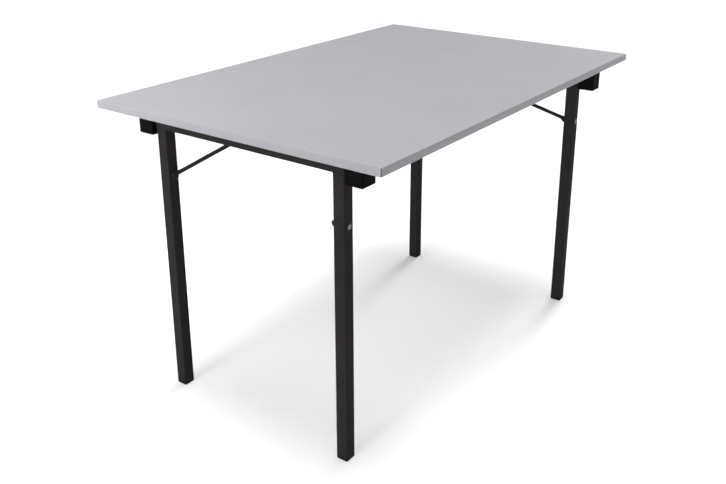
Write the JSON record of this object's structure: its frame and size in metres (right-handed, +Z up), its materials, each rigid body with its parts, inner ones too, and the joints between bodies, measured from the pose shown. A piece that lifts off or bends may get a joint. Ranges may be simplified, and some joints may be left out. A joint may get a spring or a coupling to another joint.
{
  "type": "folding table",
  "caption": "Folding table: a light grey board on two black square-tube leg frames that fold flat beneath it, each held upright by a bent wire stay hooked into a catch.",
  "frame": {"origin": "on the floor, under the middle of the board", "axes": "+X along the board's long side, +Y across it towards the rear, +Z up"},
  "size_m": [1.2, 0.8, 0.76],
  "materials": {
    "melamine_board": "matt light grey melamine facing on chipboard",
    "edge_band": "satin plastic edging in the board's grey",
    "powder_coat": "black satin powder coat with a fine texture",
    "black_plastic": "moulded matt black plastic",
    "zinc_steel": "bright zinc plate",
    "black_zinc": "black zinc plate, worn bright on the outer face",
    "spring_steel": "oiled spring steel"
  },
  "bodies": {
    "table": {"tabletop_board": "melamine_board", "edge_band_front": "edge_band", "edge_band_rear": "edge_band", "edge_band_left": "edge_band", "edge_band_right": "edge_band", "hinge_block_left_rear": "black_plastic", "block_screw_left_rear_1": "zinc_steel", "block_screw_left_rear_2": "zinc_steel", "hinge_block_left_front": "black_plastic", "block_screw_left_front_1": "zinc_steel", "block_screw_left_front_2": "zinc_steel", "stay_catch_left": "powder_coat", "catch_spring_left": "spring_steel", "stow_clip_left": "spring_steel", "spring_rivet_left": "zinc_steel", "catch_screw_left_rear": "zinc_steel", "catch_screw_left_front": "zinc_steel", "clip_screw_left": "zinc_steel", "hinge_block_right_front": "black_plastic", "block_screw_right_front_1": "zinc_steel", "block_screw_right_front_2": "zinc_steel", "hinge_block_right_rear": "black_plastic", "block_screw_right_rear_1": "zinc_steel", "block_screw_right_rear_2": "zinc_steel", "stay_catch_right": "powder_coat", "catch_spring_right": "spring_steel", "stow_clip_right": "spring_steel", "spring_rivet_right": "zinc_steel", "catch_screw_right_front": "zinc_steel", "catch_screw_right_rear": "zinc_steel", "clip_screw_right": "zinc_steel"},
    "frame_left": {"crossbar_left": "powder_coat", "leg_left_rear": "powder_coat", "foot_cap_left_rear": "black_plastic", "crossbar_plug_left_rear": "black_plastic", "hinge_pin_left_rear": "zinc_steel", "stay_bolt_left_rear": "black_zinc", "stay_nut_left_rear": "black_zinc", "leg_left_front": "powder_coat", "foot_cap_left_front": "black_plastic", "crossbar_plug_left_front": "black_plastic", "hinge_pin_left_front": "zinc_steel", "stay_bolt_left_front": "black_zinc", "stay_nut_left_front": "black_zinc"},
    "stay_left": {"stay_left": "powder_coat"},
    "frame_right": {"crossbar_right": "powder_coat", "leg_right_front": "powder_coat", "foot_cap_right_front": "black_plastic", "crossbar_plug_right_front": "black_plastic", "hinge_pin_right_front": "zinc_steel", "stay_bolt_right_front": "black_zinc", "stay_nut_right_front": "black_zinc", "leg_right_rear": "powder_coat", "foot_cap_right_rear": "black_plastic", "crossbar_plug_right_rear": "black_plastic", "hinge_pin_right_rear": "zinc_steel", "stay_bolt_right_rear": "black_zinc", "stay_nut_right_rear": "black_zinc"},
    "stay_right": {"stay_right": "powder_coat"}
  },
  "joints": [
    {"name": "frame_left_fold", "type": "hinge", "parent": "table", "child": "frame_left", "pos_m": [-0.495, 0.031, 0.702], "axis": [0, -1, 0], "range_deg": [0, 90], "deforming": ["catch_spring_left"]},
    {"name": "frame_right_fold", "type": "hinge", "parent": "table", "child": "frame_right", "pos_m": [0.495, -0.031, 0.702], "axis": [0, 1, 0], "range_deg": [0, 90], "deforming": ["catch_spring_right"]},
    {"name": "stay_left_swing", "type": "hinge", "parent": "frame_left", "child": "stay_left", "pos_m": [-0.495, 0.031, 0.571], "axis": [0, -1, 0], "range_deg": [-117, 0]},
    {"name": "stay_right_swing", "type": "hinge", "parent": "frame_right", "child": "stay_right", "pos_m": [0.495, -0.031, 0.571], "axis": [0, 1, 0], "range_deg": [-117, 0]}
  ],
  "couplings": [
    {"joint": "stay_left_swing", "follows": "frame_left_fold", "ratio": -1.2941},
    {"joint": "stay_right_swing", "follows": "frame_right_fold", "ratio": -1.2941}
  ]
}
